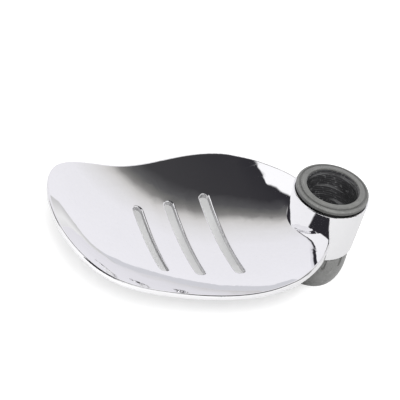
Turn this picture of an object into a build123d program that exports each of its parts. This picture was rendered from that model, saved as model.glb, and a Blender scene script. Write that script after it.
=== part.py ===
"""Soap dish that clamps on a round shower riser rail.

Millimetres. The rail's axis is +Z and the origin lies on it, halfway up the dish's sleeve.
The bowl reaches out along -X and is the same on both sides of the XZ plane.
One solid for each piece:
    dish             bowl with drain slots, in one with the tapered sleeve that turns about the rail
    rail_bush        flanged bush through the sleeve, with a tail below it
    grip_liner       lining of the bush, which lies on the rail
    friction_ring    ring between the bush's flange and the sleeve's top
    clamp_ring       split tapered ring that closes on the rail
    locking_collar   domed collar on the tail, which turns and drives the clamp ring
"""
import math
import os

from build123d import *

# Rail
rail_r = 12.5
rail_clearance = 0.1
bore_r = rail_r + rail_clearance

# Walls outwards from the rail, and the clearances between the pieces
liner_wall = 1.0
liner_gap = 0.05
bush_wall = 1.8
running_gap = 0.08
sleeve_bottom_wall = 1.9
sleeve_top_wall = 3.15
overrun = 5.0

# Sleeve of the dish
sleeve_height = 28.4
sleeve_lip_round = 0.5
sleeve_foot_round = 0.4

# Bowl: how far it reaches from the rail, its widest half, the height of its lowest line and of its tip
reach = 140.0
half_width = 49.3
floor_z = -11.1
tip_rise = 23.9
edge_rise = 11.2
wall = 3.0
neck_wall = 6.0
rim_round = 0.7
rim_foot_round = 1.0
side_margin = 6.0

# Stations along the bowl: share of the reach, share of the tip's rise that its middle line has there,
# share of the edge rise that its cross curve has at the widest half, share of the neck's extra wall
bowl_station_shares = [
    (-0.08, 0.778, 0.82, 1.00),
    (0.02, 0.694, 0.84, 1.00),
    (0.07, 0.525, 0.93, 0.95),
    (0.094, 0.424, 1.16, 0.87),
    (0.12, 0.337, 1.27, 0.76),
    (0.15, 0.262, 1.27, 0.60),
    (0.186, 0.197, 1.19, 0.40),
    (0.235, 0.131, 1.12, 0.22),
    (0.30, 0.072, 1.06, 0.10),
    (0.457, 0.000, 1.00, 0.00),
    (0.60, 0.050, 1.00, 0.00),
    (0.715, 0.192, 1.00, 0.00),
    (0.843, 0.456, 1.00, 0.00),
    (0.957, 0.850, 1.00, 0.00),
    (1.05, 1.175, 1.00, 0.00),
]

# Plan outline of the bowl on one side, from inside the sleeve's bore to the tip:
# share of the reach, share of the half width
outline_shares = [
    (-0.045, 0.000),
    (-0.020, 0.170),
    (0.030, 0.320),
    (0.050, 0.460),
    (0.114, 0.698),
    (0.240, 0.930),
    (0.371, 1.000),
    (0.520, 0.960),
    (0.670, 0.900),
    (0.800, 0.872),
    (0.900, 0.765),
    (0.975, 0.455),
    (1.000, 0.000),
]

# Drain slots: share of the reach, share of the longest slot's length
slot_width = 4.8
slot_length = 56.0
slot_edge_round = 0.6
slot_shares = [(0.371, 1.0), (0.507, 0.92), (0.632, 0.80)]

# Bush
flange_inset = 0.8
flange_thickness = 2.2
flange_crown = 1.0
flange_round = 0.7
flange_foot_round = 0.3
flange_lip = 0.5
flange_lip_height = 0.9
flange_lip_round = 0.3
flange_groove_width = 0.7
flange_groove_depth = 0.35
flange_groove_inset = 1.3
flange_groove_round = 0.15
tail_step = 0.5
tail_length = 8.6
tail_chamfer = 0.3

# Friction ring
friction_ring_thickness = 0.8
friction_ring_gap = 0.05
friction_ring_inset = 1.3

# Liner
liner_mouth_chamfer = 0.3

# Locking collar
collar_top_gap = 0.3
collar_height = 20.0
collar_band = 9.5
collar_inset = 0.7
collar_foot_wall = 0.9
collar_foot_round = 0.4
collar_top_chamfer = 0.35
thread_gap = 0.15
nose_gap = 0.6
nose_length = 2.5
notch_count = 11
notch_width = 1.9
notch_depth = 0.8
notch_length = 6.6
notch_phase = 1.7

# Clamp ring
clamp_ring_gap = 0.2
clamp_ring_end_gap = 0.3
clamp_ring_foot_wall = 0.8
clamp_slit = 2.0
clamp_slit_angle = 0.0

# Radii outwards from the bore
liner_r = bore_r + liner_wall
seat_r = liner_r + liner_gap
bush_r = seat_r + bush_wall
sleeve_bore_r = bush_r + running_gap
sleeve_foot_r = sleeve_bore_r + sleeve_bottom_wall
sleeve_head_r = sleeve_bore_r + sleeve_top_wall
tail_r = bush_r - tail_step
lip_r = bore_r + flange_lip
flange_r = sleeve_head_r - flange_inset
collar_bore_r = tail_r + thread_gap
collar_r = sleeve_foot_r - collar_inset
nose_bore_r = bore_r + nose_gap

# Heights from the middle of the sleeve
sleeve_top = sleeve_height / 2
sleeve_foot = -sleeve_height / 2
flange_foot = sleeve_top + friction_ring_thickness
flange_top = flange_foot + flange_thickness
lip_top = flange_top + flange_crown
liner_top = lip_top - flange_lip_height
tail_foot = sleeve_foot - tail_length
collar_top = sleeve_foot - collar_top_gap
collar_foot = collar_top - collar_height
cone_top = tail_foot - clamp_ring_end_gap
cone_foot = collar_foot + nose_length


def turned(points):
    """Solid of revolution about the rail axis from (radius, height) points."""
    profile = make_face(Polyline([(r, 0, z) for r, z in points], close=True))
    return revolve(profile, Axis.Z, 360)


def level_disc(radius, low, high):
    """Upright round bar about the rail axis."""
    return Pos(0, 0, low) * Cylinder(radius, high - low, align=(Align.CENTER, Align.CENTER, Align.MIN))


def bowl_section(along, floor_share, edge_share, neck_share):
    """Cross section of the bowl's sheet: two arcs one wall apart, square to X."""
    x = -reach * along
    span = half_width + side_margin
    middle = floor_z + tip_rise * floor_share
    side = middle + edge_rise * edge_share * (span / half_width) ** 2
    thick = wall + (neck_wall - wall) * neck_share
    upper = ThreePointArc((x, -span, side), (x, 0, middle), (x, span, side))
    lower = ThreePointArc((x, -span, side - thick), (x, 0, middle - thick), (x, span, side - thick))
    sides = [Line(upper @ 0, lower @ 0), Line(upper @ 1, lower @ 1)]
    return make_face([upper, lower] + sides)


def bowl_outline():
    """Plan outline of the bowl as one smooth loop, which closes inside the sleeve's bore."""
    one_side = [(-reach * along, half_width * across) for along, across in outline_shares]
    other_side = [(x, -y) for x, y in reversed(one_side[1:-1])]
    return make_face(Spline(one_side + other_side, periodic=True))


def build_dish():
    """Bowl, sleeve and drain slots in one piece."""
    sheet = loft([bowl_section(*station) for station in reversed(bowl_station_shares)])
    prism = Pos(0, 0, floor_z - reach) * extrude(bowl_outline(), 2 * reach)
    bowl = sheet & prism
    bowl = fillet(rim_edges(bowl)[0], rim_foot_round)
    bowl = fillet(rim_edges(bowl)[-1], rim_round)
    for along, length_share in slot_shares:
        bowl = cut_slot(bowl, -reach * along, slot_length * length_share)
    sleeve = turned([
        (0, sleeve_foot),
        (sleeve_foot_r, sleeve_foot),
        (sleeve_head_r, sleeve_top),
        (0, sleeve_top),
    ])
    ends = sleeve.edges().filter_by(GeomType.CIRCLE).sort_by(Axis.Z)
    sleeve = fillet(ends[-1], sleeve_lip_round)
    ends = sleeve.edges().filter_by(GeomType.CIRCLE).sort_by(Axis.Z)
    sleeve = fillet(ends[0], sleeve_foot_round)
    bore = level_disc(sleeve_bore_r, sleeve_foot - overrun, sleeve_top + overrun)
    return bowl + sleeve - bore


def rim_edges(bowl):
    """The edges that follow the plan outline, from the lowest to the highest."""
    long_edges = [edge for edge in bowl.edges() if edge.length > reach]
    return sorted(long_edges, key=lambda edge: edge.bounding_box().max.Z)


def cut_slot(bowl, x, length):
    """One drain slot across the bowl, with its edges rounded."""
    plan = Pos(x, 0, floor_z - overrun - wall) * SlotOverall(length, slot_width, rotation=90)
    cutter = extrude(plan, 2 * overrun + 2 * wall + edge_rise)
    slotted = bowl - cutter
    fresh = [edge for edge in slotted.edges() if is_slot_edge(edge, x, length)]
    return fillet(fresh, slot_edge_round)


def is_slot_edge(edge, x, length):
    """True for the edges where the slot's walls meet the bowl's two faces."""
    box = edge.bounding_box()
    inside_x = abs(box.center().X - x) <= slot_width / 2 + wall / 10
    inside_y = box.max.Y <= length / 2 + wall / 10 and box.min.Y >= -length / 2 - wall / 10
    upright = box.size.X < wall / 100 and box.size.Y < wall / 100
    return inside_x and inside_y and not upright


def crown_height(radius):
    """Height of the flange's top face, which rises evenly from its rim to its lip."""
    return flange_top + flange_crown * (flange_r - radius) / (flange_r - lip_r)


def ring_edge(solid, radius, height):
    """The solid's circular edge about the rail axis that lies nearest to a radius and height."""
    rings = solid.edges().filter_by(GeomType.CIRCLE)
    return min(rings, key=lambda ring: abs(ring.radius - radius) + abs(ring.center().Z - height))


def build_rail_bush():
    """Flanged bush: lip, flange with a groove, tube in the sleeve, thinner tail below."""
    groove_outer = flange_r - flange_groove_inset
    groove_inner = groove_outer - flange_groove_width
    groove_floor = crown_height(groove_outer) - flange_groove_depth
    bush = turned([
        (lip_r, liner_top),
        (lip_r, lip_top),
        (groove_inner, crown_height(groove_inner)),
        (groove_inner, groove_floor),
        (groove_outer, groove_floor),
        (groove_outer, crown_height(groove_outer)),
        (flange_r, flange_top),
        (flange_r, flange_foot),
        (bush_r, flange_foot),
        (bush_r, sleeve_foot),
        (tail_r, sleeve_foot),
        (tail_r, tail_foot + tail_chamfer),
        (tail_r - tail_chamfer, tail_foot),
        (seat_r, tail_foot),
        (seat_r, liner_top),
    ])
    for radius, height, rounding in [
        (flange_r, flange_top, flange_round),
        (flange_r, flange_foot, flange_foot_round),
        (lip_r, lip_top, flange_lip_round),
        (groove_outer, crown_height(groove_outer), flange_groove_round),
        (groove_inner, crown_height(groove_inner), flange_groove_round),
    ]:
        bush = fillet(ring_edge(bush, radius, height), rounding)
    return bush


def build_grip_liner():
    """Plain lining from under the flange's lip down to the end of the tail."""
    return turned([
        (bore_r, tail_foot),
        (liner_r, tail_foot),
        (liner_r, liner_top),
        (bore_r + liner_mouth_chamfer, liner_top),
        (bore_r, liner_top - liner_mouth_chamfer),
    ])


def build_friction_ring():
    """Flat ring under the flange, set back from the flange's rim."""
    foot = sleeve_top + friction_ring_gap
    outer = flange_r - friction_ring_inset
    inner = bush_r + liner_gap
    return turned([(inner, foot), (outer, foot), (outer, flange_foot), (inner, flange_foot)])


def cone_radius(z):
    """Radius of the collar's inner cone at a height."""
    share = (z - cone_foot) / (cone_top - cone_foot)
    return nose_bore_r + (collar_bore_r - nose_bore_r) * share


def clamp_ring_foot():
    """Height where the clamp ring's wall has come down to its foot wall."""
    radius = bore_r + clamp_ring_foot_wall + clamp_ring_gap
    share = (radius - nose_bore_r) / (collar_bore_r - nose_bore_r)
    return cone_foot + (cone_top - cone_foot) * share


def build_clamp_ring():
    """Ring with a slit through it, tapered like the collar's inner cone."""
    foot = clamp_ring_foot()
    ring = turned([
        (bore_r, foot),
        (cone_radius(foot) - clamp_ring_gap, foot),
        (collar_bore_r - clamp_ring_gap, cone_top),
        (bore_r, cone_top),
    ])
    slit = Box(2 * collar_r, clamp_slit, 2 * collar_height, align=(Align.MIN, Align.CENTER, Align.CENTER))
    return ring - Rot(0, 0, clamp_slit_angle) * Pos(0, 0, foot) * slit


def build_locking_collar():
    """Collar with a straight notched band, a domed nose and an inner cone."""
    band_foot = collar_top - collar_band
    foot_r = nose_bore_r + collar_foot_wall
    drop = band_foot - collar_foot
    inward = collar_r - foot_r
    dome_r = (drop ** 2 + inward ** 2) / (2 * inward)
    half_turn = math.asin(drop / dome_r) / 2
    dome_mid = (
        collar_r - dome_r + dome_r * math.cos(half_turn),
        0,
        band_foot - dome_r * math.sin(half_turn),
    )
    dome = ThreePointArc((collar_r, 0, band_foot), dome_mid, (foot_r, 0, collar_foot))
    rest = Polyline([
        (foot_r, 0, collar_foot),
        (nose_bore_r, 0, collar_foot),
        (nose_bore_r, 0, cone_foot),
        (collar_bore_r, 0, cone_top),
        (collar_bore_r, 0, collar_top),
        (collar_r - collar_top_chamfer, 0, collar_top),
        (collar_r, 0, collar_top - collar_top_chamfer),
        (collar_r, 0, band_foot),
    ])
    collar = revolve(make_face([dome, rest]), Axis.Z, 360)
    foot_edge = collar.edges().filter_by(GeomType.CIRCLE).group_by(Axis.Z)[0].sort_by(SortBy.RADIUS)[-1]
    collar = fillet(foot_edge, collar_foot_round)
    for number in range(notch_count):
        angle = notch_phase + 360 * number / notch_count
        collar -= Rot(0, 0, angle) * notch()
    return collar


def notch():
    """Cutter of one grip notch, open at the collar's top and round at its foot."""
    round_r = notch_width / 2
    low = collar_top - notch_length
    slab = Pos(collar_r - notch_depth, 0, low + round_r) * Box(
        notch_depth + overrun,
        notch_width,
        notch_length + overrun,
        align=(Align.MIN, Align.CENTER, Align.MIN),
    )
    foot = Pos(collar_r - notch_depth, 0, low + round_r) * Rot(0, 90, 0) * Cylinder(
        round_r,
        notch_depth + overrun,
        align=(Align.CENTER, Align.CENTER, Align.MIN),
    )
    return slab + foot


builders = {
    "dish": build_dish,
    "rail_bush": build_rail_bush,
    "grip_liner": build_grip_liner,
    "friction_ring": build_friction_ring,
    "clamp_ring": build_clamp_ring,
    "locking_collar": build_locking_collar,
}

os.makedirs("parts", exist_ok=True)
for name, builder in builders.items():
    export_step(builder(), "parts/" + name + ".step")
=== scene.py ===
"""Looks of the shower rail soap dish: chrome dish, grey bush and collar, black ribbed lining.

Metres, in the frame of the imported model: the rail's axis is +Z and the bowl reaches out along -X.
"""
import math

import bmesh
import bpy
from mathutils import Matrix, Vector


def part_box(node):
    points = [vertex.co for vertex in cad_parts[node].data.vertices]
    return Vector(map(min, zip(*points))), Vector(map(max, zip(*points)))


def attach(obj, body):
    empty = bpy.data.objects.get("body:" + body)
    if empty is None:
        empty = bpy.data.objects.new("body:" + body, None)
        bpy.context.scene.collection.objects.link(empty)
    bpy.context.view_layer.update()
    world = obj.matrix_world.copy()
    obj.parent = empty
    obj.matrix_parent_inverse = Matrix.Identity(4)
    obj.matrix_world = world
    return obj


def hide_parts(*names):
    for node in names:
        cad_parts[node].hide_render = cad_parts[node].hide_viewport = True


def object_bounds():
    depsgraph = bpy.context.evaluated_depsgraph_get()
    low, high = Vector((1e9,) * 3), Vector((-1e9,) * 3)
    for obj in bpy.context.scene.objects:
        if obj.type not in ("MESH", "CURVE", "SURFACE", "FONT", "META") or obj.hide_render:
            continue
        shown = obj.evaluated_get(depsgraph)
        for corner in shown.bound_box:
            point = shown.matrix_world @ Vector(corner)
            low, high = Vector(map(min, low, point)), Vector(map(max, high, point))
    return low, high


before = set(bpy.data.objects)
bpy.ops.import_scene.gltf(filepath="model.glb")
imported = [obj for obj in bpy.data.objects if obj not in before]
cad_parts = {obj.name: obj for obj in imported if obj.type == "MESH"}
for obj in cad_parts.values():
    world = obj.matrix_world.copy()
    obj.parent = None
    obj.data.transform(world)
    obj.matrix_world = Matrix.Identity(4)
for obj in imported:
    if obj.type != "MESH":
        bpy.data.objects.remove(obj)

cad_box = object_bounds()
scene = bpy.context.scene

# Camera: where it stands round the dish, and the point that its middle ray meets
camera_azimuth = math.radians(-29.5)
camera_elevation = math.radians(39.19)
camera_roll = math.radians(15.73)
camera_distance = 1.0
camera_aim = Vector((-0.062635, 0.010275, 0.005585))
lens_mm = 190.09
sensor_mm = 36.0

# Floor: its own colour, and what it gives off by itself to the camera and to mirrored rays. Both rise
# with the distance from a middle: partly because far from it less of the lamp's light arrives, and partly
# as painted shade, lowest under and near the dish, seen through the slots and mirrored in the chrome.
floor_gap = 0.0001
floor_size = 6.0
floor_colour = (0.64, 0.64, 0.64)
floor_glow_seen = (0.28, 0.68)
floor_painted_shade_middle = (-0.05, 0.045, 0.0)
floor_seen_reach = (0.04, 0.10)
floor_glow_mirrored = (0.02, 0.32)
floor_mirrored_reach = (0.10, 0.34)

# Soft light on all matt surfaces: an even dome, and a lamp that stands high on the camera's side
dome_colour = (0.50, 0.50, 0.50)
lamp_bearing = 214.0
lamp_elevation = 50.0
lamp_distance = 0.9
lamp_size = 0.36
lamp_power = 10.0

# Studio that the chrome mirrors. Bearings are degrees from +Y towards +X.
room_dark = (0.030, 0.029, 0.035)
room_dim = (0.062, 0.061, 0.064)
room_dim_bearing = 80.0
room_dim_reach = (-0.3, 0.6)
wall_left_bearing = -35.5
wall_right_bearing = 105.9
wall_end_softness = 0.06
fade_pole = (205.0, 50.0)
fade_start = -0.5
fade_end = 0.56
wall_light = [
    (0.00, (0.89, 0.885, 0.92)),
    (0.46, (0.865, 0.86, 0.89)),
    (0.61, (0.78, 0.775, 0.78)),
    (0.68, (0.69, 0.68, 0.67)),
    (0.72, (0.58, 0.57, 0.55)),
    (0.775, (0.21, 0.205, 0.195)),
    (0.81, (0.13, 0.13, 0.12)),
    (0.86, (0.055, 0.055, 0.055)),
    (0.95, (0.0, 0.0, 0.0)),
]
# Round grey patch low on the wall: its middle, and where its edge starts and ends as a cosine
patch_middle = (26.0, -8.3)
patch_edge = (0.9543, 0.9573)
patch_grey = (0.63, 0.635, 0.67)
# Panel and screens lie inside planes: bearing and elevation of each plane's inner side, and its softness
panel_white = (1.12, 1.12, 1.13)
panel_sides = [
    (-133.0, 0.0, 0.025),
    (-147.5, 21.3, 0.03),
    (-88.5, -12.6, 0.02),
    (-8.7, 0.0, 0.05),
]
screen_white = (1.0, 1.0, 1.0)
screen_sides = [
    (198.0, 0.0, 0.04),
    (86.0, 0.0, 0.03),
    (140.0, -35.0, 0.12),
]
side_grey = (0.36, 0.36, 0.37)
side_sides = [
    (255.0, 0.0, 0.10),
    (137.0, 0.0, 0.12),
    (200.0, -35.0, 0.70),
]

# Surface waves: how much finer and weaker the second layer is
wave_finer_scale = 3.1
wave_finer_share = 0.08
# Grain: scale of its slow clouds, shares of grain and cloud in the tone, and the tones that count
cloud_scale = 0.08
grain_share = 0.45
cloud_share = 0.55
grain_window = (0.35, 0.65)
# Rubbing marks: how they wander, how they are drawn out, and how soft their edges are
drift_scale = 25.0
drift_reach = 0.02
mark_stretches = ((0.35, 7.0, 4.0), (6.0, 0.5, 3.0))
mark_softness = 0.06
# Turning marks: how slowly they change round the axis, how close they lie on flat faces, and which show
turning_drag = 0.12
turning_slope = 2.0
turning_window = (0.52, 0.68)

# Chrome: tones of its film, sizes of its marks, roughness where clean and what film and marks add
chrome_tones = ((0.862, 0.858, 0.872), (0.886, 0.882, 0.898))
chrome_wave_scale = 62.0
chrome_mark_scale = 90.0
chrome_film_scale = 520.0
chrome_roughness = 0.018
chrome_film_roughness = 0.022
chrome_mark_roughness = 0.05
chrome_wave_depth = 0.00003
chrome_mark_depth = 0.0000004

# Grey plastic of the collar, and the same plastic a little darker for the bush as painted shade
collar_tones = ((0.145, 0.146, 0.142), (0.188, 0.189, 0.184))
bush_shaded_tones = ((0.122, 0.123, 0.119), (0.161, 0.162, 0.157))
grey_turned_tone = (0.220, 0.221, 0.215)
grey_turned_share = 0.5
grey_rubbed_tone = (0.27, 0.27, 0.265)
grey_rubbed_share = 0.35
grey_grain_scale = 2400.0
grey_turning_scale = 750.0
grey_mark_scale = 150.0
grey_roughness = (0.24, 0.36)
grey_turning_depth = 0.00004
grey_grain_depth = 0.00002
# Painted shade on the outer side of the bush's flange: how far its top lies under the bush's top, and its
# blend
side_drop = 0.0013
side_blend = 0.0006
side_painted_shade_share = 0.68
# Painted shade in a darker band in and round the flange's groove: how far its ends lie inside the flange's
# rim, and its blend
groove_start = 0.0024
groove_end = 0.0009
groove_blend = 0.0003
groove_painted_shade_share = 0.4
flange_painted_shade_tone = (0.040, 0.040, 0.039)

# Black lining: its own tones, light streaks round the bore that are painted reflection, and marks the rail
# wore into it that also carry painted reflection
lining_tones = ((0.016, 0.016, 0.017), (0.040, 0.040, 0.042))
lining_painted_reflection_tone = (0.19, 0.19, 0.194)
lining_painted_reflection_share = 0.62
lining_wear_and_reflection_tone = (0.26, 0.26, 0.265)
lining_wear_and_reflection_share = 0.4
lining_sparseness = 0.62
lining_streak_scale = 420.0
lining_grain_scale = 1500.0
lining_mark_scale = 190.0
lining_roughness = (0.30, 0.45)
lining_streak_depth = 0.00008
lining_grain_depth = 0.00003

# Dark plastic of the clamp ring
ring_tones = ((0.055, 0.055, 0.058), (0.085, 0.085, 0.088))
ring_grain_scale = 1900.0
ring_turning_scale = 1100.0
ring_roughness = (0.36, 0.5)
ring_turning_depth = 0.00003
ring_grain_depth = 0.00002

# Ribbed lining: wall and chamfered mouth, pitch of the ribs, and width, depth and slopes of their grooves
lining_wall = 0.001
lining_mouth = 0.0003
rib_pitch = 0.00125
rib_groove = 0.00045
rib_depth = 0.00014
rib_slope = 0.3
turning_steps = 128
merge_distance = 1e-7
sharp_degrees = 50.0


def node(tree, kind, **settings):
    """New shader node, with its properties and its unlinked sockets set by name."""
    made = tree.nodes.new(kind)
    for name, value in settings.items():
        if hasattr(made, name):
            setattr(made, name, value)
        else:
            made.inputs[name.replace("_", " ")].default_value = value
    return made


def blank_tree(owner):
    """Node tree of a material or world, emptied."""
    owner.use_nodes = True
    owner.node_tree.nodes.clear()
    return owner.node_tree


def ramp(tree, source, stops):
    """Colour ramp over a value, from (position, colour) stops."""
    made = node(tree, "ShaderNodeValToRGB")
    elements = made.color_ramp.elements
    while len(elements) < len(stops):
        elements.new(1.0)
    for element, (position, colour) in zip(elements, stops):
        element.position = position
        element.color = (*colour, 1.0)
    tree.links.new(source, made.inputs["Fac"])
    return made.outputs["Color"]


def dot(tree, source, direction):
    """Dot product of a vector socket with a fixed direction."""
    made = node(tree, "ShaderNodeVectorMath", operation="DOT_PRODUCT")
    tree.links.new(source, made.inputs[0])
    made.inputs[1].default_value = direction.normalized()
    return made.outputs["Value"]


def spread(tree, source, low, high, low_to=0.0, high_to=1.0, easing="LINEAR"):
    """Value from low to high, moved to low_to to high_to and held there outside."""
    made = node(tree, "ShaderNodeMapRange", interpolation_type=easing)
    tree.links.new(source, made.inputs["Value"])
    made.inputs["From Min"].default_value = low
    made.inputs["From Max"].default_value = high
    made.inputs["To Min"].default_value = low_to
    made.inputs["To Max"].default_value = high_to
    return made.outputs["Result"]


def eased(tree, source, low, high):
    """Value that rises smoothly from 0 at low to 1 at high."""
    return spread(tree, source, low, high, easing="SMOOTHSTEP")


def maths(tree, operation, first, second):
    """Math node over two values. Each is a socket or a number."""
    made = node(tree, "ShaderNodeMath", operation=operation)
    for socket, value in zip(made.inputs, (first, second)):
        if isinstance(value, float):
            socket.default_value = value
        else:
            tree.links.new(value, socket)
    return made.outputs["Value"]


def mixed(tree, factor, first, second):
    """Colour mix by a value socket. Each colour is a socket or a tuple."""
    made = node(tree, "ShaderNodeMix", data_type="RGBA")
    tree.links.new(factor, made.inputs["Factor"])
    # The node has A, B and Result once for each kind of value, so the colour ones are picked by kind
    colours = [socket for socket in made.inputs if socket.type == "RGBA"]
    for socket, colour in zip(colours, (first, second)):
        if isinstance(colour, tuple):
            socket.default_value = (*colour, 1.0)
        else:
            tree.links.new(colour, socket)
    return next(socket for socket in made.outputs if socket.type == "RGBA")


def bearing(degrees, elevation=0.0):
    """Direction at a bearing from +Y towards +X and an elevation, both in degrees."""
    turn, rise = math.radians(degrees), math.radians(elevation)
    return Vector((math.sin(turn) * math.cos(rise), math.cos(turn) * math.cos(rise), math.sin(rise)))


def new_group(name, inputs, outputs):
    """Empty node group, with its input and output nodes. Inputs are (name, kind, value)."""
    tree = bpy.data.node_groups.new(name, "ShaderNodeTree")
    for label, kind, value in inputs:
        socket = tree.interface.new_socket(label, in_out="INPUT", socket_type=kind)
        if value is not None:
            socket.default_value = value
    for label, kind in outputs:
        tree.interface.new_socket(label, in_out="OUTPUT", socket_type=kind)
    return tree, node(tree, "NodeGroupInput").outputs, node(tree, "NodeGroupOutput").inputs


def placed(tree, group, vector, **values):
    """One use of a node group on a vector, with its own values."""
    made = node(tree, "ShaderNodeGroup", node_tree=group)
    tree.links.new(vector, made.inputs["Vector"])
    for name, value in values.items():
        made.inputs[name.replace("_", " ")].default_value = value
    return made.outputs


def noise(tree, vector, scale, detail=2.0, roughness=0.5):
    """Noise over a vector. The scale is a socket or a number."""
    made = node(tree, "ShaderNodeTexNoise", Detail=detail, Roughness=roughness)
    tree.links.new(vector, made.inputs["Vector"])
    if isinstance(scale, float):
        made.inputs["Scale"].default_value = scale
    else:
        tree.links.new(scale, made.inputs["Scale"])
    return made.outputs["Fac"]


def scaled(tree, vector, factors):
    """Vector with its three parts multiplied by fixed factors."""
    made = node(tree, "ShaderNodeVectorMath", operation="MULTIPLY")
    tree.links.new(vector, made.inputs[0])
    made.inputs[1].default_value = factors
    return made.outputs["Vector"]


def surface_waves():
    """Broad shallow unevenness of a moulded face."""
    tree, given, result = new_group(
        "surface_waves",
        [("Vector", "NodeSocketVector", None), ("Scale", "NodeSocketFloat", 60.0)],
        [("Height", "NodeSocketFloat")],
    )
    broad = noise(tree, given["Vector"], given["Scale"], detail=1.0)
    finer_scale = maths(tree, "MULTIPLY", given["Scale"], wave_finer_scale)
    finer = noise(tree, given["Vector"], finer_scale, detail=1.0)
    small_part = maths(tree, "MULTIPLY", finer, wave_finer_share)
    tree.links.new(maths(tree, "ADD", broad, small_part), result["Height"])
    return tree


def fine_grain():
    """Fine moulded grain, with a height and a tone that wanders over the piece."""
    tree, given, result = new_group(
        "fine_grain",
        [("Vector", "NodeSocketVector", None), ("Scale", "NodeSocketFloat", 2200.0)],
        [("Height", "NodeSocketFloat"), ("Tone", "NodeSocketFloat")],
    )
    grain = noise(tree, given["Vector"], given["Scale"], detail=3.0, roughness=0.6)
    cloud = noise(tree, given["Vector"], maths(tree, "MULTIPLY", given["Scale"], cloud_scale), detail=3.0)
    grain_part = maths(tree, "MULTIPLY", grain, grain_share)
    blend = maths(tree, "ADD", grain_part, maths(tree, "MULTIPLY", cloud, cloud_share))
    tree.links.new(grain, result["Height"])
    tree.links.new(spread(tree, blend, *grain_window), result["Tone"])
    return tree


def hairlines():
    """Thin, sparse rubbing marks that run in wandering directions."""
    tree, given, result = new_group(
        "hairlines",
        [
            ("Vector", "NodeSocketVector", None),
            ("Scale", "NodeSocketFloat", 90.0),
            ("Sparseness", "NodeSocketFloat", 0.64),
        ],
        [("Mask", "NodeSocketFloat")],
    )
    drift = node(tree, "ShaderNodeTexNoise", Detail=1.0, Scale=drift_scale)
    tree.links.new(given["Vector"], drift.inputs["Vector"])
    bend = node(tree, "ShaderNodeVectorMath", operation="SCALE")
    tree.links.new(drift.outputs["Color"], bend.inputs[0])
    bend.inputs["Scale"].default_value = drift_reach
    bent = node(tree, "ShaderNodeVectorMath", operation="ADD")
    tree.links.new(given["Vector"], bent.inputs[0])
    tree.links.new(bend.outputs["Vector"], bent.inputs[1])
    total = None
    for stretch in mark_stretches:
        lines = noise(tree, scaled(tree, bent.outputs["Vector"], stretch), given["Scale"], detail=2.0)
        thin = spread(tree, maths(tree, "SUBTRACT", lines, given["Sparseness"]), 0.0, mark_softness)
        total = thin if total is None else maths(tree, "MAXIMUM", total, thin)
    tree.links.new(total, result["Mask"])
    return tree


def turning_marks():
    """Marks that run round the rail's axis, on faces across it and along it alike."""
    tree, given, result = new_group(
        "turning_marks",
        [("Vector", "NodeSocketVector", None), ("Scale", "NodeSocketFloat", 900.0)],
        [("Height", "NodeSocketFloat"), ("Mask", "NodeSocketFloat")],
    )
    parts = node(tree, "ShaderNodeSeparateXYZ")
    tree.links.new(given["Vector"], parts.inputs["Vector"])
    across = node(tree, "ShaderNodeVectorMath", operation="LENGTH")
    tree.links.new(scaled(tree, given["Vector"], (1.0, 1.0, 0.0)), across.inputs[0])
    joined = node(tree, "ShaderNodeCombineXYZ")
    for side in ("X", "Y"):
        tree.links.new(maths(tree, "MULTIPLY", parts.outputs[side], turning_drag), joined.inputs[side])
    outward = maths(tree, "MULTIPLY", across.outputs["Value"], turning_slope)
    tree.links.new(maths(tree, "ADD", parts.outputs["Z"], outward), joined.inputs["Z"])
    lines = noise(tree, joined.outputs["Vector"], given["Scale"], detail=2.5, roughness=0.55)
    tree.links.new(lines, result["Height"])
    tree.links.new(spread(tree, lines, *turning_window), result["Mask"])
    return tree


waves_group = surface_waves()
grain_group = fine_grain()
hairline_group = hairlines()
turning_group = turning_marks()


def principled(name, metallic=0.0):
    """Material with one Principled shader: the material, its tree, its shader and Object coordinates."""
    material = bpy.data.materials.new(name)
    tree = blank_tree(material)
    shader = node(tree, "ShaderNodeBsdfPrincipled", Metallic=metallic)
    output = node(tree, "ShaderNodeOutputMaterial")
    tree.links.new(shader.outputs["BSDF"], output.inputs["Surface"])
    place = node(tree, "ShaderNodeTexCoord").outputs["Object"]
    return material, tree, shader, place


def bumped(tree, shader, layers):
    """Bump nodes in a chain, one for each (height socket, depth in metres)."""
    normal = None
    for height, depth in layers:
        made = node(tree, "ShaderNodeBump", Strength=1.0, Distance=depth)
        tree.links.new(height, made.inputs["Height"])
        if normal is not None:
            tree.links.new(normal, made.inputs["Normal"])
        normal = made.outputs["Normal"]
    tree.links.new(normal, shader.inputs["Normal"])


def polished_chrome():
    """Bright chrome plate over a moulding: slightly wavy, with faint rubbing marks and dried film."""
    material, tree, shader, place = principled("polished_chrome", metallic=1.0)
    waves = placed(tree, waves_group, place, Scale=chrome_wave_scale)
    marks = placed(tree, hairline_group, place, Scale=chrome_mark_scale)
    film = placed(tree, grain_group, place, Scale=chrome_film_scale)
    tree.links.new(mixed(tree, film["Tone"], *chrome_tones), shader.inputs["Base Color"])
    from_film = maths(tree, "MULTIPLY", film["Tone"], chrome_film_roughness)
    from_marks = maths(tree, "MULTIPLY", marks["Mask"], chrome_mark_roughness)
    rough = maths(tree, "ADD", from_film, from_marks)
    tree.links.new(maths(tree, "ADD", rough, chrome_roughness), shader.inputs["Roughness"])
    bumped(tree, shader, [(waves["Height"], chrome_wave_depth), (marks["Mask"], chrome_mark_depth)])
    return material


def toned(tree, mask, share, ground, tone):
    """Colour with a share of another tone where a mask is high."""
    return mixed(tree, maths(tree, "MULTIPLY", mask, share), ground, tone)


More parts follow.
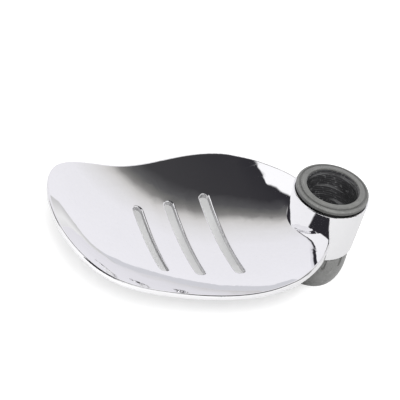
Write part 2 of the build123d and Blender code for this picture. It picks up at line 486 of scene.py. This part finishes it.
def flange_painted_shade(tree, place, corner):
    """Painted shade of the bush's flange, on its outer side and in its groove, from its upper corner."""
    parts = node(tree, "ShaderNodeSeparateXYZ")
    tree.links.new(place, parts.inputs["Vector"])
    side_top = corner.z - side_drop
    side = spread(tree, parts.outputs["Z"], side_top - side_blend, side_top, 1.0, 0.0)
    across = node(tree, "ShaderNodeVectorMath", operation="LENGTH")
    tree.links.new(scaled(tree, place, (1.0, 1.0, 0.0)), across.inputs[0])
    start, end = corner.x - groove_start, corner.x - groove_end
    rising = eased(tree, across.outputs["Value"], start, start + groove_blend)
    falling = spread(tree, across.outputs["Value"], end - groove_blend, end, 1.0, 0.0)
    groove = maths(tree, "MULTIPLY", rising, falling)
    side_part = maths(tree, "MULTIPLY", side, side_painted_shade_share)
    return maths(tree, "MAXIMUM", side_part, maths(tree, "MULTIPLY", groove, groove_painted_shade_share))


def grey_plastic(name, tones, flange_corner=None):
    """Satin grey moulding with fine grain and faint marks round the rail's axis.

    With a flange's upper corner, its narrow outer side and its groove get painted shade.
    """
    material, tree, shader, place = principled(name)
    grain = placed(tree, grain_group, place, Scale=grey_grain_scale)
    turning = placed(tree, turning_group, place, Scale=grey_turning_scale)
    marks = placed(tree, hairline_group, place, Scale=grey_mark_scale)
    ground = mixed(tree, grain["Tone"], *tones)
    turned = toned(tree, turning["Mask"], grey_turned_share, ground, grey_turned_tone)
    colour = toned(tree, marks["Mask"], grey_rubbed_share, turned, grey_rubbed_tone)
    if flange_corner is not None:
        # Painted shade on the flange's outer side and in its groove
        colour = mixed(tree, flange_painted_shade(tree, place, flange_corner), colour, flange_painted_shade_tone)
    tree.links.new(colour, shader.inputs["Base Color"])
    tree.links.new(spread(tree, grain["Tone"], 0.0, 1.0, *grey_roughness), shader.inputs["Roughness"])
    bumped(tree, shader, [(turning["Height"], grey_turning_depth), (grain["Height"], grey_grain_depth)])
    return material


def black_lining():
    """Soft black lining: a dull sheen, with light streaks round the bore that are painted reflection, and
    marks worn in by the rail that also carry painted reflection.
    """
    material, tree, shader, place = principled("black_lining")
    streaks = placed(tree, turning_group, place, Scale=lining_streak_scale)
    grain = placed(tree, grain_group, place, Scale=lining_grain_scale)
    marks = placed(tree, hairline_group, place, Scale=lining_mark_scale, Sparseness=lining_sparseness)
    ground = mixed(tree, grain["Tone"], *lining_tones)
    # Light streaks round the bore: painted reflection
    with_painted_reflection = toned(tree, streaks["Mask"], lining_painted_reflection_share, ground, lining_painted_reflection_tone)
    # Light marks: wear by the rail, and painted reflection too
    worn_and_reflection = toned(tree, marks["Mask"], lining_wear_and_reflection_share, with_painted_reflection, lining_wear_and_reflection_tone)
    tree.links.new(worn_and_reflection, shader.inputs["Base Color"])
    tree.links.new(spread(tree, streaks["Mask"], 0.0, 1.0, *lining_roughness), shader.inputs["Roughness"])
    bumped(tree, shader, [(streaks["Height"], lining_streak_depth), (grain["Height"], lining_grain_depth)])
    return material


def dark_plastic():
    """Dark slippery plastic of the clamp ring, matt where it was turned."""
    material, tree, shader, place = principled("dark_plastic")
    grain = placed(tree, grain_group, place, Scale=ring_grain_scale)
    turning = placed(tree, turning_group, place, Scale=ring_turning_scale)
    tree.links.new(mixed(tree, grain["Tone"], *ring_tones), shader.inputs["Base Color"])
    tree.links.new(spread(tree, turning["Mask"], 0.0, 1.0, *ring_roughness), shader.inputs["Roughness"])
    bumped(tree, shader, [(turning["Height"], ring_turning_depth), (grain["Height"], ring_grain_depth)])
    return material


chrome = polished_chrome()
grey = grey_plastic("grey_plastic", collar_tones)
# The bush is the collar's plastic made darker as painted shade, with more painted shade on its flange
bush_painted_shade = grey_plastic("bush_plastic_painted_shade", bush_shaded_tones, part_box("rail_bush")[1])
black = black_lining()
dark = dark_plastic()


def turned_piece(name, outline, steps):
    """Closed mesh of revolution about the rail's axis from a loop of (radius, height) points."""
    form = bmesh.new()
    ring = [form.verts.new((radius, 0.0, height)) for radius, height in outline]
    edges = [form.edges.new((first, second)) for first, second in zip(ring, ring[1:] + ring[:1])]
    bmesh.ops.spin(
        form,
        geom=ring + edges,
        cent=(0.0, 0.0, 0.0),
        axis=(0.0, 0.0, 1.0),
        angle=math.tau,
        steps=steps,
        use_merge=True,
        use_duplicate=False,
    )
    bmesh.ops.remove_doubles(form, verts=form.verts, dist=merge_distance)
    bmesh.ops.recalc_face_normals(form, faces=form.faces)
    mesh = bpy.data.meshes.new(name)
    form.to_mesh(mesh)
    form.free()
    mesh.shade_smooth()
    mesh.set_sharp_from_angle(angle=math.radians(sharp_degrees))
    made = bpy.data.objects.new(name, mesh)
    scene.collection.objects.link(made)
    return made


def make_lining():
    """Lining of the bush with shallow ribs round its bore, in the place of the plain one."""
    low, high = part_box("grip_liner")
    outer = high.x
    bore = outer - lining_wall
    plain_end = 2 * lining_mouth
    outline = [
        (outer, low.z),
        (outer, high.z),
        (bore + lining_mouth, high.z),
        (bore, high.z - lining_mouth),
    ]
    count = int((high.z - low.z - 2 * plain_end) / rib_pitch)
    for number in range(count):
        top = high.z - plain_end - number * rib_pitch
        outline += [
            (bore, top),
            (bore + rib_depth, top - rib_groove * rib_slope),
            (bore + rib_depth, top - rib_groove * (1 - rib_slope)),
            (bore, top - rib_groove),
        ]
    outline.append((bore, low.z))
    lining = turned_piece("ribbed_lining", outline, turning_steps)
    lining.data.materials.append(black)
    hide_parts("grip_liner")
    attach(lining, "clamp")


def dress_nodes():
    """Own finish for each of the model's pieces."""
    finishes = {
        "dish": chrome,
        "rail_bush": bush_painted_shade,
        "grip_liner": black,
        "friction_ring": black,
        "clamp_ring": dark,
        "locking_collar": grey,
    }
    for name, finish in finishes.items():
        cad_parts[name].data.materials.clear()
        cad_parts[name].data.materials.append(finish)


def make_camera():
    """Camera at the photograph's angle."""
    back = Vector((
        math.sin(camera_azimuth) * math.cos(camera_elevation),
        -math.cos(camera_azimuth) * math.cos(camera_elevation),
        math.sin(camera_elevation),
    ))
    level = Vector((math.cos(camera_azimuth), math.sin(camera_azimuth), 0.0))
    upward = back.cross(level)
    right = level * math.cos(camera_roll) + upward * math.sin(camera_roll)
    top = upward * math.cos(camera_roll) - level * math.sin(camera_roll)
    turn = Matrix((right, top, back)).transposed().to_4x4()
    data = bpy.data.cameras.new("camera")
    data.sensor_width = sensor_mm
    data.lens = lens_mm
    made = bpy.data.objects.new("camera", data)
    scene.collection.objects.link(made)
    made.matrix_world = Matrix.Translation(camera_aim + back * camera_distance) @ turn
    scene.camera = made


def inside(tree, way, sides):
    """Mask of the directions that lie on the inner side of each plane."""
    total = None
    for degrees, elevation, softness in sides:
        part = eased(tree, dot(tree, way, bearing(degrees, elevation)), 0.0, softness)
        total = part if total is None else maths(tree, "MULTIPLY", total, part)
    return total


def make_world():
    """Even soft light, in which mirrored rays meet a white wall, a panel, screens and a dark room."""
    world = bpy.data.worlds.new("studio")
    scene.world = world
    tree = blank_tree(world)
    way = node(tree, "ShaderNodeTexCoord").outputs["Generated"]
    height = spread(tree, dot(tree, way, bearing(*fade_pole)), fade_start, fade_end)
    light = ramp(tree, height, wall_light)
    patch = eased(tree, dot(tree, way, bearing(*patch_middle)), *patch_edge)
    light = mixed(tree, patch, light, patch_grey)
    soft = wall_end_softness
    # The wall lies a quarter turn inside each of its ends
    from_left = eased(tree, dot(tree, way, bearing(wall_left_bearing + 90)), -soft, soft)
    from_right = eased(tree, dot(tree, way, bearing(wall_right_bearing - 90)), -soft, soft)
    wall = mixed(tree, maths(tree, "MULTIPLY", from_left, from_right), (0.0, 0.0, 0.0), light)
    dimness = spread(tree, dot(tree, way, bearing(room_dim_bearing)), *room_dim_reach)
    room = mixed(tree, dimness, room_dark, room_dim)
    both = node(tree, "ShaderNodeVectorMath", operation="ADD")
    tree.links.new(wall, both.inputs[0])
    tree.links.new(room, both.inputs[1])
    dim = mixed(tree, inside(tree, way, side_sides), both.outputs["Vector"], side_grey)
    lit = mixed(tree, inside(tree, way, screen_sides), dim, screen_white)
    mirrored = mixed(tree, inside(tree, way, panel_sides), lit, panel_white)
    path = node(tree, "ShaderNodeLightPath")
    around = mixed(tree, path.outputs["Is Glossy Ray"], dome_colour, mirrored)
    shown = mixed(tree, path.outputs["Is Camera Ray"], around, (1.0, 1.0, 1.0))
    background = node(tree, "ShaderNodeBackground")
    tree.links.new(shown, background.inputs["Color"])
    output = node(tree, "ShaderNodeOutputWorld")
    tree.links.new(background.outputs["Background"], output.inputs["Surface"])


def make_lamp():
    """Large soft lamp, which lights matt surfaces and isn't mirrored."""
    data = bpy.data.lights.new("soft_lamp", "AREA")
    data.shape = "SQUARE"
    data.size = lamp_size
    data.energy = lamp_power
    lamp = bpy.data.objects.new("soft_lamp", data)
    scene.collection.objects.link(lamp)
    way = bearing(lamp_bearing, lamp_elevation)
    lamp.location = way * lamp_distance
    lamp.rotation_euler = way.to_track_quat("Z", "Y").to_euler()
    lamp.visible_glossy = False


def make_floor():
    """Plain pale floor that the collar stands on."""
    bpy.ops.mesh.primitive_plane_add(size=floor_size, location=(0, 0, cad_box[0].z - floor_gap))
    floor = bpy.context.object
    floor.name = "floor"
    material = bpy.data.materials.new("pale_floor")
    tree = blank_tree(material)
    matt = node(tree, "ShaderNodeBsdfDiffuse")
    matt.inputs["Color"].default_value = (*floor_colour, 1.0)
    place = node(tree, "ShaderNodeTexCoord").outputs["Object"]
    # Glow seen by the camera, lowest round a middle under the dish: painted shade on the floor seen
    # through the slots
    from_shade_middle = node(tree, "ShaderNodeVectorMath", operation="DISTANCE")
    tree.links.new(place, from_shade_middle.inputs[0])
    from_shade_middle.inputs[1].default_value = floor_painted_shade_middle
    glow_seen = spread(tree, from_shade_middle.outputs["Value"], *floor_seen_reach, *floor_glow_seen)
    # Glow for mirrored rays, lowest near the dish: painted shade in the floor that the chrome mirrors
    # nearby
    away = node(tree, "ShaderNodeVectorMath", operation="LENGTH")
    tree.links.new(place, away.inputs[0])
    glow_mirrored = spread(tree, away.outputs["Value"], *floor_mirrored_reach, *floor_glow_mirrored)
    path = node(tree, "ShaderNodeLightPath")
    seen = maths(tree, "MULTIPLY", path.outputs["Is Camera Ray"], glow_seen)
    # Only rays that no matt surface has scattered, so that the glow doesn't light the object
    unscattered = maths(tree, "LESS_THAN", path.outputs["Diffuse Depth"], 1.0)
    glossy = maths(tree, "MULTIPLY", path.outputs["Is Glossy Ray"], unscattered)
    mirrored = maths(tree, "MULTIPLY", glossy, glow_mirrored)
    glow = node(tree, "ShaderNodeEmission")
    tree.links.new(maths(tree, "ADD", seen, mirrored), glow.inputs["Strength"])
    both = node(tree, "ShaderNodeAddShader")
    tree.links.new(matt.outputs["BSDF"], both.inputs[0])
    tree.links.new(glow.outputs["Emission"], both.inputs[1])
    output = node(tree, "ShaderNodeOutputMaterial")
    tree.links.new(both.outputs["Shader"], output.inputs["Surface"])
    floor.data.materials.append(material)


dress_nodes()
make_lining()
make_camera()
make_world()
make_lamp()
make_floor()
scene.view_settings.view_transform = "Standard"
